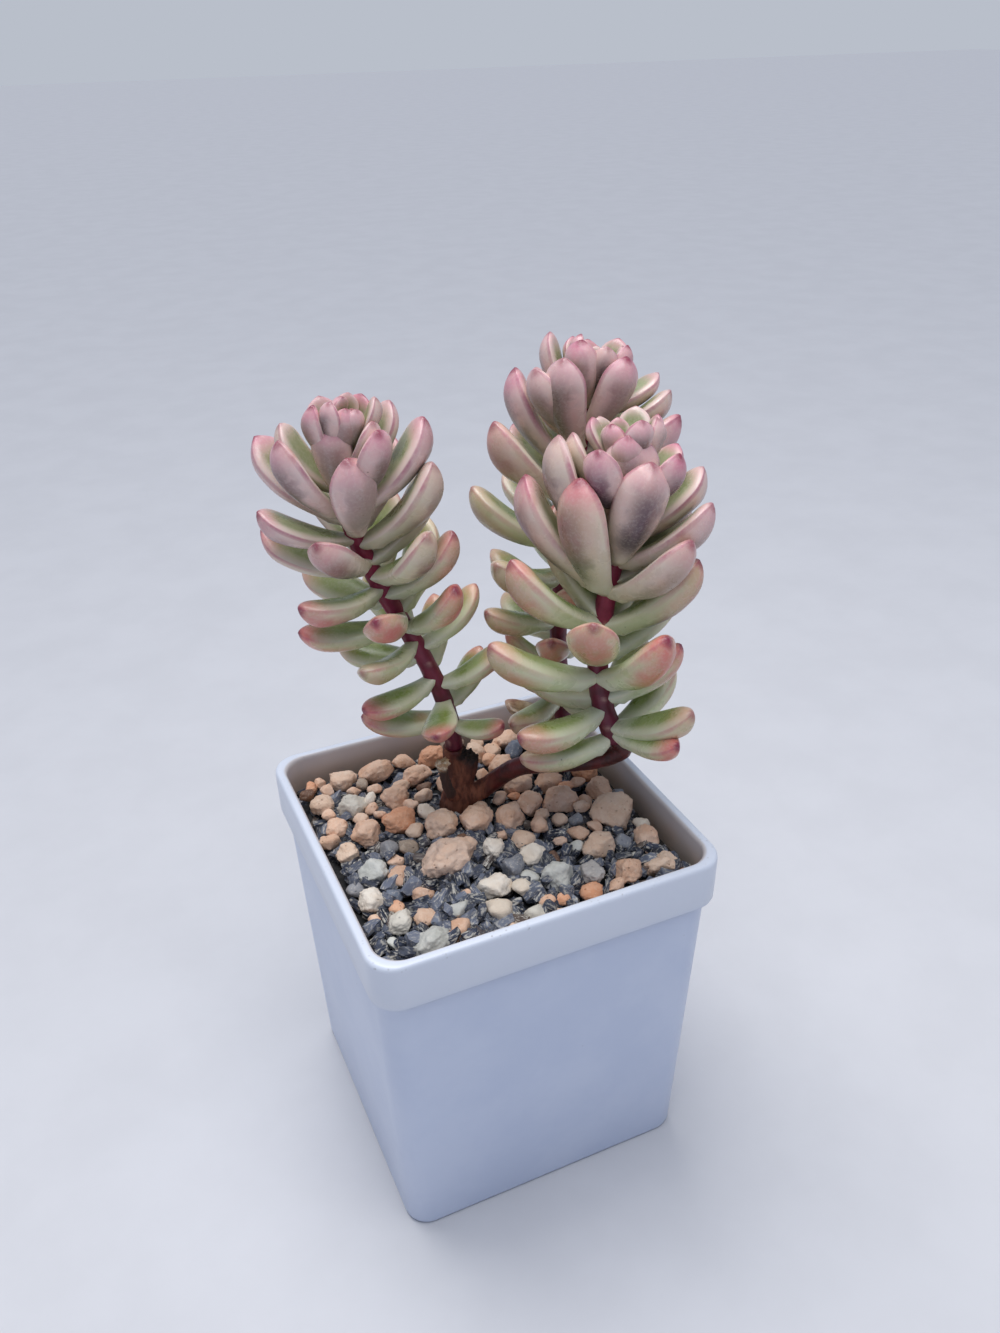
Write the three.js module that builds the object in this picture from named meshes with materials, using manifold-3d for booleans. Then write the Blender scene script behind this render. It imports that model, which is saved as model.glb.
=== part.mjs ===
// A variegated sedum in a small square nursery pot: three leafy stems on one short woody trunk,
// rooted in coarse grit with loose stones on top. Millimetres, +Z up.
// The origin is the middle of the pot's underside, and the smooth front of its rim band faces -Y.

import * as THREE from 'three';
import { mergeVertices } from 'three/addons/utils/BufferGeometryUtils.js';
import Module from 'manifold-3d';

const wasm = await Module();
wasm.setup();
const { Manifold, Mesh: SolidMesh } = wasm;

// Driving dimensions

const GAP = 0.3;

const POT = {
  side: 55,
  height: 60,
  baseSide: 48.7,
  bandHeight: 8,
  bandStep: 1,
  bandDraft: 0.1,
  rimWall: 1.7,
  floorWall: 1.8,
  floorInside: 45.6,
  rimCorner: 4.9,
  baseCorner: 4,
  edge: 0.6,
  drainRadius: 2.5,
  drainSpread: 11,
  cornerSteps: 4,
};

const GRIT = {
  surface: 54.4,
  mound: 2.2,
  roughness: 0.55,
  cornerSteps: 2,
  rings: [0.84, 0.68, 0.52, 0.36, 0.18],
  grains: 36,
  grainSize: [1.5, 2.6],
  grainWidth: [0.6, 0.9],
  grainDepth: 0.5,
  grainTilt: 0.6,
};

const STONE = {
  worn: [0.86, 1.14],
  depth: 0.86,
  raised: 0.26,
};

const LEAF = {
  sides: 6,
  stations: [0, 0.3, 0.66, 0.92],
  widest: 0.66,
  foot: 0.32,
  width: [0.34, 0.03, 0.45],
  thickness: 0.28,
  innerShare: 0.36,
  bend: 34,
};

// The turn from one leaf to the next, and how much more the last leaves of a crown close up.
const TURN = -138.2;
const CLOSING = 20;

// Each stem is a cubic curve from its lowest leaf to its crown. Its leaves follow one spiral:
// lift and length are the values at the foot, the swell half way, and the crown. Fallen leaves are
// left out. A nudge moves a single leaf to the way it grows on this plant: turn and lift in degrees,
// length in mm and climb in hundredths of the stem.
const STEMS = {
  left: {
    path: [[-1.7, 7.5, 67.4], [-2, 6.4, 85.6], [-17.8, 11, 100.9], [-15.7, 6.9, 118.8]],
    radius: [1.4, 1.3],
    leaves: 46,
    seed: 1,
    firstTurn: 218.5,
    start: 0.03,
    evenness: 0.59,
    lift: [12, -7, 61],
    length: [8.7, 7.5, 7.5],
    fallen: [0, 1, 6, 10],
    nudges: {
      3: [0, 0, 3, 0],
      4: [5, 8, 0, 0],
      5: [-5, -8, 0, 0],
      12: [0, -5, -1.5, 0],
      18: [0, 4, 0, -3],
      19: [10, -3, 0, 0],
      20: [-10, 0, -1, 0],
      21: [6, 0, -1, 0],
      23: [20, 0, 0.5, 0],
      24: [0, 7, 1.5, 0],
      26: [5, 10, -2.5, -2],
      28: [20, 0, 2, 0],
      31: [22, 26, 1, -2],
      32: [15, 0, 2.5, 0],
      33: [12, -6, 3, 1],
      34: [-10, 16, 2, -1],
      36: [18, 8, 1.5, 0],
      38: [0, -5, 1, 0],
      39: [12, 26, 0.5, -5],
      40: [8, -6, 0, 0],
    },
  },
  front: {
    path: [[17.8, -10, 73.7], [11.5, -6.5, 87.6], [19.4, -8.3, 101.2], [19.7, -6.4, 114.4]],
    radius: [1.65, 1.2],
    leaves: 46,
    seed: 2,
    firstTurn: 283.6,
    start: 0,
    evenness: 1,
    lift: [1.6, 15, 45],
    length: [14.1, 6.2, 8.6],
    fallen: [3, 8, 12, 14, 17, 21, 23],
    nudges: {
      0: [0, 0, 0, 4],
      1: [28, 17, 1, 0],
      5: [-14, -3, -0.5, -5],
      6: [16, 0, -1, 0],
      7: [0, -7, 0, 0],
      9: [-12, -15, -1, -2],
      10: [-4, 5, -3, -5],
      11: [-25, 0, 1.5, 2],
      13: [0, 9, 0, -3],
      18: [0, 14, -1, 5],
      19: [0, 0, 0, 4],
      20: [0, 6, -1, 0],
      22: [0, 16, 0, 0],
      24: [-12, 20, 1, 5],
      25: [-6, 18, -0.5, 0],
      27: [-5, 0, 2, 0],
      29: [15, 22, 1, 5],
      32: [-16, 6, 3, 0],
      34: [-20, 20, 0, 0],
      36: [0, 0, 1.5, -3],
      37: [0, 0, 0, 5],
      41: [-8, -16, 0, 0],
      45: [9, 0, -1, 0],
    },
  },
  back: {
    path: [[17.9, 7.2, 67], [16.1, 9.9, 85], [19.4, 9.7, 102], [23.4, 11.4, 119.6]],
    radius: [1.5, 1.1],
    leaves: 46,
    seed: 3,
    firstTurn: 266,
    start: 0,
    evenness: 0.4,
    lift: [2.4, -7.6, 48.8],
    length: [10, 7, 9],
    fallen: [0, 2, 5, 10, 18, 21, 26, 29],
    nudges: {
      1: [0, 0, 1, 0],
      3: [0, 0, 2, 0],
      4: [25, -16, 0, 0],
      6: [10, 36, -2, 0],
      8: [0, 15, 0, 0],
      11: [8, 6, -0.5, 0],
      13: [-14, 13, -2, 0],
      14: [-13, 3, -1, 0],
      16: [-14, 0, 0, 0],
      19: [0, 8, 0, 2],
      24: [-14, 15, 1.5, 5],
      27: [-20, 8, -1.5, 0],
      31: [9, 3, 1.5, 0],
      32: [-5, 22, 2.5, -3],
      34: [-32, 24, 1, 0],
      39: [4, 13, 1, -3],
      40: [0, 8, 1, 0],
      41: [-6, -18, 1, 0],
    },
  },
};

const JITTER = { turn: 4, lift: 4, length: 0.05 };

// Helpers

function vector(point) {
  return new THREE.Vector3(point[0], point[1], point[2]);
}

// A repeatable draw from 0 to 1 for a whole number.
function draw(number) {
  const value = Math.sin(number * 12.9898 + 78.233) * 43758.5453;
  return value - Math.floor(value);
}

function between([low, high], share) {
  return low + (high - low) * share;
}

// A closed skin over rings of equal length, with a flat cap or a point at each end.
function skin(rings, tip = null) {
  const count = rings[0].length;
  const points = rings.flat();
  const index = [];
  for (let ring = 0; ring < rings.length - 1; ring += 1) {
    for (let k = 0; k < count; k += 1) {
      const a = ring * count + k;
      const b = ring * count + (k + 1) % count;
      index.push(a, b, b + count, a, b + count, a + count);
    }
  }
  const first = centreOf(rings[0]);
  const last = tip ?? centreOf(rings[rings.length - 1]);
  points.push(first, last);
  const top = (rings.length - 1) * count;
  for (let k = 0; k < count; k += 1) {
    const next = (k + 1) % count;
    index.push(points.length - 2, next, k);
    index.push(points.length - 1, top + k, top + next);
  }
  const geometry = new THREE.BufferGeometry();
  geometry.setFromPoints(points);
  geometry.setIndex(index);
  return geometry;
}

function centreOf(ring) {
  const centre = new THREE.Vector3();
  ring.forEach((point) => centre.add(point));
  return centre.divideScalar(ring.length);
}

function toSolid(geometry) {
  const bare = geometry.clone();
  bare.deleteAttribute('normal');
  bare.deleteAttribute('uv');
  const merged = mergeVertices(bare, 1e-4);
  return new Manifold(new SolidMesh({
    numProp: 3,
    vertProperties: new Float32Array(merged.attributes.position.array),
    triVerts: new Uint32Array(merged.index.array),
  }));
}

// The largest outer shell of a solid: loose scraps and sealed hollows are dropped.
function oneBody(solid) {
  return solid.decompose().sort((a, b) => b.volume() - a.volume())[0];
}

function toGeometry(solid) {
  const mesh = solid.getMesh();
  const geometry = new THREE.BufferGeometry();
  geometry.setAttribute('position', new THREE.BufferAttribute(mesh.vertProperties, 3));
  geometry.setIndex(new THREE.BufferAttribute(mesh.triVerts, 1));
  return geometry;
}

function named(name, geometry, look) {
  geometry.computeVertexNormals();
  const mesh = new THREE.Mesh(geometry, new THREE.MeshStandardMaterial(look));
  mesh.name = name;
  return mesh;
}

// Round rings square to a curve, for stems and roots.
function sweep(curve, radii, sides, steps) {
  const frames = curve.computeFrenetFrames(steps, false);
  const rings = [];
  for (let step = 0; step <= steps; step += 1) {
    const along = step / steps;
    const centre = curve.getPointAt(along);
    const radius = radii(along);
    const ring = [];
    for (let k = 0; k < sides; k += 1) {
      const angle = (k / sides) * 2 * Math.PI;
      ring.push(centre.clone()
        .addScaledVector(frames.normals[step], radius * Math.cos(angle))
        .addScaledVector(frames.binormals[step], radius * Math.sin(angle)));
    }
    rings.push(ring);
  }
  return skin(rings);
}

// Pot

function roundedSquare(side, corner, z, cornerSteps = POT.cornerSteps) {
  const ring = [];
  const offset = side / 2 - corner;
  for (let quarter = 0; quarter < 4; quarter += 1) {
    const middle = quarter * Math.PI / 2 + Math.PI / 4;
    const cx = Math.sign(Math.cos(middle)) * offset;
    const cy = Math.sign(Math.sin(middle)) * offset;
    for (let step = 0; step <= cornerSteps; step += 1) {
      const angle = (quarter + step / cornerSteps) * Math.PI / 2;
      ring.push(new THREE.Vector3(cx + corner * Math.cos(angle), cy + corner * Math.sin(angle), z));
    }
  }
  return ring;
}

function insideRise(z) {
  return (z - POT.floorWall) / (POT.height - POT.floorWall);
}

function insideSide(z) {
  return between([POT.floorInside, POT.side - 2 * POT.rimWall], insideRise(z));
}

function insideCorner(z) {
  return between([POT.baseCorner - POT.rimWall, POT.rimCorner - POT.rimWall], insideRise(z));
}

function potShell() {
  const bandFoot = POT.height - POT.bandHeight;
  const bandSide = POT.side - 2 * POT.bandDraft;
  const outer = [
    roundedSquare(POT.baseSide - 2 * POT.edge, POT.baseCorner - POT.edge, 0),
    roundedSquare(POT.baseSide, POT.baseCorner, POT.edge),
    roundedSquare(bandSide - 2 * POT.bandStep, POT.rimCorner - POT.bandStep, bandFoot),
    roundedSquare(bandSide, POT.rimCorner, bandFoot + POT.bandStep / 3),
    roundedSquare(POT.side, POT.rimCorner, POT.height - POT.edge),
    roundedSquare(POT.side - POT.edge, POT.rimCorner - POT.edge / 2, POT.height - POT.edge / 4),
    roundedSquare(POT.side - 2 * POT.edge, POT.rimCorner - POT.edge, POT.height),
  ];
  const mouth = POT.height + 1;
  const inner = [POT.floorWall, POT.height - POT.edge].map((z) => (
    roundedSquare(insideSide(z), insideCorner(z), z)
  ));
  inner.push(roundedSquare(insideSide(POT.height) + POT.edge, insideCorner(POT.height), mouth));
  let solid = toSolid(skin(outer)).subtract(toSolid(skin(inner)));
  for (const [x, y] of [[1, 1], [-1, 1], [-1, -1], [1, -1]]) {
    const hole = new THREE.CylinderGeometry(POT.drainRadius, POT.drainRadius, 3 * POT.floorWall, 12);
    hole.rotateX(Math.PI / 2);
    hole.translate(x * POT.drainSpread, y * POT.drainSpread, POT.floorWall / 2);
    solid = solid.subtract(toSolid(hole));
  }
  return solid;
}

// Grit and stones

function surfaceHeight(x, y) {
  const reach = Math.max(Math.abs(x), Math.abs(y)) / (POT.side / 2);
  return GRIT.surface + GRIT.mound * (1 - reach * reach);
}

function gritBody() {
  const foot = POT.floorWall + GAP;
  const clear = 2 * GAP;
  const brim = GRIT.surface - GRIT.roughness;
  const rings = [
    roundedSquare(insideSide(foot) - clear, insideCorner(foot), foot, GRIT.cornerSteps),
    roundedSquare(insideSide(brim) - clear, insideCorner(brim), brim, GRIT.cornerSteps),
  ];
  GRIT.rings.forEach((share, level) => {
    rings.push(rings[1].map((point, k) => {
      const x = point.x * share;
      const y = point.y * share;
      const bump = between([-GRIT.roughness, GRIT.roughness], draw(level * 31 + k));
      return new THREE.Vector3(x, y, surfaceHeight(x, y) + bump);
    }));
  });
  return toSolid(skin(rings));
}

// A sharp little grain, standing half out of the surface.
function grain(number) {
  const chance = (kind) => draw(number * 5 + kind);
  const shape = new THREE.OctahedronGeometry(between(GRIT.grainSize, chance(0)), 0);
  shape.scale(1, between(GRIT.grainWidth, chance(1)), GRIT.grainDepth);
  shape.rotateX(between([-GRIT.grainTilt, GRIT.grainTilt], chance(2)));
  shape.rotateZ(chance(3) * Math.PI);
  const half = insideSide(GRIT.surface) / 2 - GRIT.grainSize[1] - 2 * GAP;
  const golden = (number * (Math.sqrt(5) - 1) / 2) % 1;
  const x = between([-half, half], golden);
  const y = between([-half, half], (number + 0.5) / GRIT.grains);
  shape.translate(x, y, surfaceHeight(x, y));
  return shape;
}

// Stones: kind, middle x and y, length, width and how far they are turned, as they lie on the grit.
const STONES = [
  ['peach', -8.8, -6.9, 9.6, 6.4, 10],
  ['tan', -1.6, -0.4, 6, 5.2, 40],
  ['tan', -6.8, 1.6, 5.4, 4.6, 0],
  ['tan', 4, -1.2, 5, 4.6, 80],
  ['tan', 8.8, 6.4, 4.6, 4.2, 20],
  ['tan', 8.4, 0.6, 4.8, 4, 50],
  ['tan', -12.2, 6, 5.4, 4.6, 0],
  ['tan', -10.8, 12, 4.8, 4.2, 60],
  ['tan', -5.2, 16.6, 4.8, 4, 0],
  ['tan', -10.8, 20.8, 6.2, 4.4, 10],
  ['tan', -17, 21.6, 5, 4.2, 0],
  ['tan', -21.8, 16.6, 4.6, 3.8, 90],
  ['tan', -21.6, 10, 4.2, 3.6, 90],
  ['tan', -17.8, 5.4, 5.4, 4.4, 30],
  ['tan', -22, 2.6, 4.2, 3.6, 80],
  ['cream', -21.9, -9.4, 4.4, 3.8, 80],
  ['cream', -1.5, -6.6, 4, 3.6, 70],
  ['cream', -4.6, -14.8, 4.8, 4, 0],
  ['grey', -20, -3.6, 5, 4.4, 30],
  ['grey', -17.6, 13.4, 4.8, 4.2, 20],
  ['grey', -19.4, -15.4, 4.2, 3.6, 60],
  ['grey', -17, -20.8, 6, 4.2, 15],
  ['tan', 13, -0.6, 6, 4.8, 0],
  ['tan', 14, 5.4, 5, 4.2, 40],
  ['tan', 21.4, 6.8, 5.2, 4.2, 90],
  ['tan', 20.8, 0.6, 5.6, 4.4, 90],
  ['tan', 19.8, -6.6, 7.8, 6, 15],
  ['tan', 21.8, -14, 4.6, 3.8, 90],
  ['tan', 20.6, -20.2, 5.6, 4.2, 10],
  ['tan', 15.2, -19.4, 4.8, 3.8, 60],
  ['tan', 14, -13, 6, 4.2, 0],
  ['cream', 3.4, -10.6, 4, 3.6, 0],
  ['grey', 5, -16.4, 5.8, 4.4, 20],
  ['slate', 10.2, -17.4, 5.2, 3.6, 80],
  ['slate', -0.4, -11.6, 4.4, 3.4, 50],
  ['tan', -0.6, 21.2, 5.4, 4.4, 20],
  ['tan', 6, 18.8, 5, 4.2, 70],
  ['tan', 13.4, 20.2, 6, 4.4, 30],
  ['slate', 20.6, 14, 4.6, 3.4, 60],
  ['tan', 9, 12.4, 4.8, 4, 0],
];

const STONE_LOOKS = {
  peach: { color: 0xd9a77e, roughness: 0.9 },
  tan: { color: 0xb98a66, roughness: 0.85 },
  cream: { color: 0xd8c4a4, roughness: 0.7 },
  grey: { color: 0xa6aca6, roughness: 0.7 },
  slate: { color: 0x56606c, roughness: 0.6 },
};

// A worn stone: a low sphere whose corners are pushed in and out. Grown by GAP it cuts its own seat.
function stone(number, [, x, y, length, width, turned], grow) {
  const shape = mergeVertices(bareSphere(), 1e-4);
  const position = shape.attributes.position;
  for (let k = 0; k < position.count; k += 1) {
    const push = between(STONE.worn, draw(number * 57 + k * 3));
    position.setXYZ(k, position.getX(k) * push, position.getY(k) * push, position.getZ(k) * push);
  }
  const height = STONE.depth * width;
  shape.scale(length / 2 + grow, width / 2 + grow, height / 2 + grow);
  shape.rotateZ(THREE.MathUtils.degToRad(turned));
  shape.translate(x, y, surfaceHeight(x, y) + STONE.raised * height);
  return shape;
}

function bareSphere() {
  const sphere = new THREE.SphereGeometry(1, 6, 3);
  sphere.deleteAttribute('normal');
  sphere.deleteAttribute('uv');
  return sphere;
}

// Woody parts

const TRUNK = {
  root: [[-2.4, 6.4, 41], [-2.1, 6.8, 48], [-1.8, 7, 55], [-1.7, 7.2, 61]],
  radius: [1, 3.2, 1.7],
  sideShoot: [[-3, 6, 57.6], [-4.4, 5, 61], [-5.8, 5.4, 66]],
  sideRadius: [1.1, 0.9],
  cutShoulder: [[-1.4, 6.8, 60.5], [0, 6.2, 64], [0.5, 6, 66]],
  cutRadius: [2.1, 1.5],
  footing: 2,
};

const BRANCH = {
  front: [[-0.8, 6.4, 57], [2.8, 4.4, 60.4], [6, 0.2, 65.6], [10, -4.4, 68], [15.4, -8.2, 69.4]],
  back: [[7.6, -2, 67], [12, 0.6, 66], [16.4, 5, 64]],
  radius: [1.6, 1.35],
};

// The stump with its root, a broken side shoot, a cut shoulder and the branch, which forks.
// Grown by GAP it cuts its own hole in the grit.
function trunk(grow) {
  const rootCurve = new THREE.CatmullRomCurve3([...TRUNK.root.map(vector), ...footing(STEMS.left)]);
  const [tip, waist, neck] = TRUNK.radius;
  const stump = sweep(rootCurve, (along) => {
    const swelled = between([tip, waist], THREE.MathUtils.smoothstep(along, 0, 0.5));
    return swelled - (waist - neck) * THREE.MathUtils.smoothstep(along, 0.7, 1) + grow;
  }, 10, 10);
  return Manifold.union([
    toSolid(stump),
    limb(TRUNK.sideShoot.map(vector), TRUNK.sideRadius, 4, grow),
    limb(TRUNK.cutShoulder.map(vector), TRUNK.cutRadius, 3, grow),
    limb([...BRANCH.front.map(vector), ...footing(STEMS.front)], BRANCH.radius, 10, grow),
    limb([...BRANCH.back.map(vector), ...footing(STEMS.back)], BRANCH.radius, 7, grow),
  ]);
}

// The last two points of the wood under a leafy stem, in line with the stem's foot.
function footing(stem) {
  const curve = new THREE.CubicBezierCurve3(...stem.path.map(vector));
  const foot = curve.getPoint(0);
  const down = curve.getTangent(0).negate();
  return [
    foot.clone().addScaledVector(down, TRUNK.footing + GAP),
    foot.clone().addScaledVector(down, GAP),
  ];
}

function limb(points, radius, steps, grow) {
  const curve = new THREE.CatmullRomCurve3(points);
  return toSolid(sweep(curve, (along) => between(radius, along) + grow, 7, steps));
}

// Leafy stems

// Half width of a leaf, as a share of its widest, from foot to tip: club-shaped, with a blunt point.
function leafProfile(along) {
  if (along < LEAF.widest) {
    return between([LEAF.foot, 1], Math.sin(along / LEAF.widest * Math.PI / 2) ** 1.2);
  }
  const past = (along - LEAF.widest) / (1 - LEAF.widest);
  return (1 - past ** 2.6) ** 0.55;
}

// A fat leaf along +X, flatter on its inner face, which is up. Its chord is its length.
function leafGeometry(length, up) {
  const halfWidth = length * swelling(LEAF.width, up) / 2;
  const thickness = length * LEAF.thickness;
  const sag = length * THREE.MathUtils.degToRad(LEAF.bend) / 8;
  const rings = LEAF.stations.map((along) => {
    const share = leafProfile(along);
    const ring = [];
    for (let k = 0; k < LEAF.sides; k += 1) {
      const angle = (k / LEAF.sides) * 2 * Math.PI;
      const rise = Math.sin(angle);
      const depth = rise > 0 ? LEAF.innerShare : 1 - LEAF.innerShare;
      ring.push(new THREE.Vector3(
        along * length,
        halfWidth * share * Math.cos(angle),
        thickness * share * depth * rise - sag * 4 * along * (1 - along),
      ));
    }
    return ring;
  });
  return skin(rings, new THREE.Vector3(length, 0, 0));
}

// A value that runs from foot to crown of a stem, with a swell half way.
function swelling([foot, swell, crown], up) {
  return between([foot, crown], up) + swell * 4 * up * (1 - up);
}

// Where leaf number i sits on its stem, and how it stands.
function leafPlace(stem, i) {
  const up = i / (stem.leaves - 1);
  const [turnNudge, liftNudge, lengthNudge, climbNudge] = stem.nudges[i] ?? [0, 0, 0, 0];
  const spread = (kind) => between([-1, 1], draw(i * 7 + stem.seed * 101 + kind));
  const climb = stem.evenness * up + (1 - stem.evenness) * (1 - (1 - up) ** 2);
  const lift = swelling(stem.lift, up) + CLOSING * up ** 10;
  return {
    up,
    at: stem.start + (1 - stem.start) * climb + climbNudge / 100,
    turn: stem.firstTurn + TURN * i + JITTER.turn * spread(1) + turnNudge,
    lift: lift + JITTER.lift * spread(2) + liftNudge,
    length: swelling(stem.length, up) * (1 + JITTER.length * spread(3)) + lengthNudge,
  };
}

function placedLeaf(curve, place) {
  const base = curve.getPoint(place.at);
  const axis = curve.getTangent(place.at);
  const east = new THREE.Vector3(1, 0, 0);
  east.addScaledVector(axis, -east.dot(axis)).normalize();
  const north = new THREE.Vector3().crossVectors(axis, east);
  const turn = THREE.MathUtils.degToRad(place.turn);
  const lift = THREE.MathUtils.degToRad(place.lift);
  const outward = east.multiplyScalar(Math.cos(turn)).addScaledVector(north, Math.sin(turn));
  const along = outward.clone().multiplyScalar(Math.cos(lift)).addScaledVector(axis, Math.sin(lift));
  const inner = outward.multiplyScalar(-Math.sin(lift)).addScaledVector(axis, Math.cos(lift));
  const across = new THREE.Vector3().crossVectors(inner, along);
  const matrix = new THREE.Matrix4().makeBasis(along, across, inner).setPosition(base);
  return leafGeometry(place.length, place.up).applyMatrix4(matrix);
}

function leafyStem(stem) {
  const curve = new THREE.CubicBezierCurve3(...stem.path.map(vector));
  const parts = [toSolid(sweep(curve, (along) => between(stem.radius, along), 7, 9))];
  for (let i = 0; i < stem.leaves; i += 1) {
    if (!stem.fallen.includes(i)) {
      parts.push(toSolid(placedLeaf(curve, leafPlace(stem, i))));
    }
  }
  return oneBody(Manifold.union(parts));
}

// The whole plant in its pot

const plant = new THREE.Group();

const POT_LOOK = { color: 0xe9e8e8, roughness: 0.35 };
const BARK_LOOK = { color: 0x5b3524, roughness: 0.8 };
const GRIT_LOOK = { color: 0x4b525c, roughness: 0.8 };
const LEAF_LOOK = { color: 0xc9bfa6, roughness: 0.45 };

plant.add(named('pot', toGeometry(potShell()), POT_LOOK));
plant.add(named('trunk', toGeometry(trunk(0)), BARK_LOOK));

const grains = Array.from({ length: GRIT.grains }, (_, number) => toSolid(grain(number)));
let grit = Manifold.union([gritBody(), ...grains]);
STONES.forEach((row, number) => {
  grit = grit.subtract(toSolid(stone(number, row, GAP)));
});
grit = grit.subtract(trunk(GAP));
plant.add(named('grit_bed', toGeometry(oneBody(grit)), GRIT_LOOK));

STONES.forEach((row, number) => {
  const name = `stone_${row[0]}_${String(number + 1).padStart(2, '0')}`;
  plant.add(named(name, stone(number, row, 0), STONE_LOOKS[row[0]]));
});

for (const [place, stem] of Object.entries(STEMS)) {
  plant.add(named(`leafy_stem_${place}`, toGeometry(leafyStem(stem)), LEAF_LOOK));
}

export default plant;
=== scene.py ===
from math import atan2, cos, exp, hypot, pi, radians, sin
import bpy
import numpy as np
from mathutils import Matrix, Vector, noise


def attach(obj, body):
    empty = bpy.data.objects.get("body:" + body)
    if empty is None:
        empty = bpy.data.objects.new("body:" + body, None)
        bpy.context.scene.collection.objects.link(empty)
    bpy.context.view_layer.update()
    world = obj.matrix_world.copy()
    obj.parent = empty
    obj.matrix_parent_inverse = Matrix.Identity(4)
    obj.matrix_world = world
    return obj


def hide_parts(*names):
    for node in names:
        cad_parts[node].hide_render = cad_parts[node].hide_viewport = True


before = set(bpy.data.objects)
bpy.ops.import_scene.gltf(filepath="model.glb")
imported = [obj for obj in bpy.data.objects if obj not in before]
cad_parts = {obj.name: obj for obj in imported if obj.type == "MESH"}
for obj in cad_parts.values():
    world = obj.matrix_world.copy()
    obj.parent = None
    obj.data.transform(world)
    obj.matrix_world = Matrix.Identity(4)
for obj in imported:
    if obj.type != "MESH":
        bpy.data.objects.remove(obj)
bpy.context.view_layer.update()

# A variegated sedum in a square nursery pot: three leafy stems on one woody trunk, rooted in grit.
# Lengths in the dictionaries are millimetres, +Z is up and the pot's front faces -Y.
mm = 0.001


# Nodes and shared effects

def paint(hexColour):
    parts = [int(hexColour[k:k + 2], 16) / 255 for k in (1, 3, 5)]
    linear = [c / 12.92 if c <= 0.04045 else ((c + 0.055) / 1.055) ** 2.4 for c in parts]
    return (*linear, 1)


class Nodes:
    # short ways to add nodes to one tree
    def __init__(self, tree):
        self.tree = tree

    def feed(self, socket, value):
        # a socket takes a link, a colour such as "#aabbcc" or a plain value
        if isinstance(value, bpy.types.NodeSocket):
            self.tree.links.new(value, socket)
        else:
            socket.default_value = paint(value) if isinstance(value, str) else value

    def add(self, kind, values=None, **settings):
        made = self.tree.nodes.new(kind)
        for key, value in settings.items():
            setattr(made, key, value)
        for key, value in (values or {}).items():
            self.feed(made.inputs[key], value)
        return made

    def sums(self, operation, *values):
        return self.add("ShaderNodeMath", dict(enumerate(values)), operation=operation).outputs[0]

    def times(self, product, *factors):
        for factor in factors:
            product = self.sums("MULTIPLY", product, factor)
        return product

    def blend(self, share, first, second):
        mix = self.add("ShaderNodeMix", {0: share, 6: first, 7: second}, data_type="RGBA", clamp_factor=True)
        return mix.outputs[2]

    def layers(self, colour, *coats):
        # each coat is a mask, a colour and perhaps a strength, and covers those before
        for share, coat, *strength in coats:
            colour = self.blend(self.times(share, *strength), colour, coat)
        return colour

    def ramp(self, value, low, high, toLow=0, toHigh=1):
        # toLow up to low, toHigh from high on, and a smooth change between
        ends = {0: value, 1: low, 2: high, 3: toLow, 4: toHigh}
        return self.add("ShaderNodeMapRange", ends, interpolation_type="SMOOTHSTEP").outputs[0]

    def cloud(self, spot, scale, detail, roughness=0.5):
        return self.add("ShaderNodeTexNoise", {
            "Vector": spot, "Scale": scale, "Detail": detail, "Roughness": roughness}).outputs[0]

    def effect(self, name, *values):
        return self.add("ShaderNodeGroup", dict(enumerate(values)), node_tree=effects[name]).outputs[0]

    def mottle(self, spot, scale, low, high):
        return self.effect("mottle", spot, scale, low, high)

    def specks(self, spot, scale, size, share):
        return self.effect("specks", spot, scale, size, share)

    def relief(self, spot, coarse, fine=2500, fineShare=0.3):
        return self.effect("relief", spot, coarse, fine, fineShare)


class Look(Nodes):
    # a material in the making, with the place on the piece that its patterns follow
    def __init__(self, name):
        self.material = bpy.data.materials.new(name)
        self.material.use_nodes = True
        super().__init__(self.material.node_tree)
        self.spot = self.add("ShaderNodeTexCoord").outputs["Object"]

    def split(self, vector):
        return self.add("ShaderNodeSeparateXYZ", {0: vector}).outputs

    def placeInMm(self):
        return [self.times(part, 1 / mm) for part in self.split(self.spot)]

    def attribute(self, name):
        return self.add("ShaderNodeAttribute", attribute_name=name).outputs["Vector"]

    def read(self, name):
        # one of the piece's attributes, as three values
        return self.split(self.attribute(name))

    def finish(self, colour, roughness, bump=None, softness=None):
        # bump is height, strength and depth; softness is the share of light let in and its reach
        shader = self.tree.nodes["Principled BSDF"].inputs
        self.feed(shader["Base Color"], colour)
        self.feed(shader["Roughness"], roughness)
        if bump:
            height, strength, depth = bump
            normal = self.add("ShaderNodeBump", {
                "Height": height, "Strength": strength, "Distance": depth * mm})
            self.feed(shader["Normal"], normal.outputs[0])
        if softness:
            self.feed(shader["Subsurface Weight"], softness[0])
            self.feed(shader["Subsurface Radius"], [reach * mm for reach in softness[1]])
        return self.material


def newGroup(name, output, *labels):
    # a shared effect takes a place and some numbers, and gives one number
    group = bpy.data.node_groups.new(name, "ShaderNodeTree")
    group.interface.new_socket("Vector", in_out="INPUT", socket_type="NodeSocketVector")
    for label in labels:
        group.interface.new_socket(label, in_out="INPUT", socket_type="NodeSocketFloat")
    group.interface.new_socket(output, in_out="OUTPUT", socket_type="NodeSocketFloat")
    nodes = Nodes(group)
    given = nodes.add("NodeGroupInput").outputs[:len(labels) + 1]
    return nodes, nodes.add("NodeGroupOutput").inputs[output], *given


def mottleGroup():
    # soft cloudy patches, from 0 to 1
    nodes, mask, spot, scale, low, high = newGroup("mottle", "Mask", "Scale", "Low", "High")
    nodes.feed(mask, nodes.ramp(nodes.cloud(spot, scale, 4, 0.6), low, high))
    return nodes.tree


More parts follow.
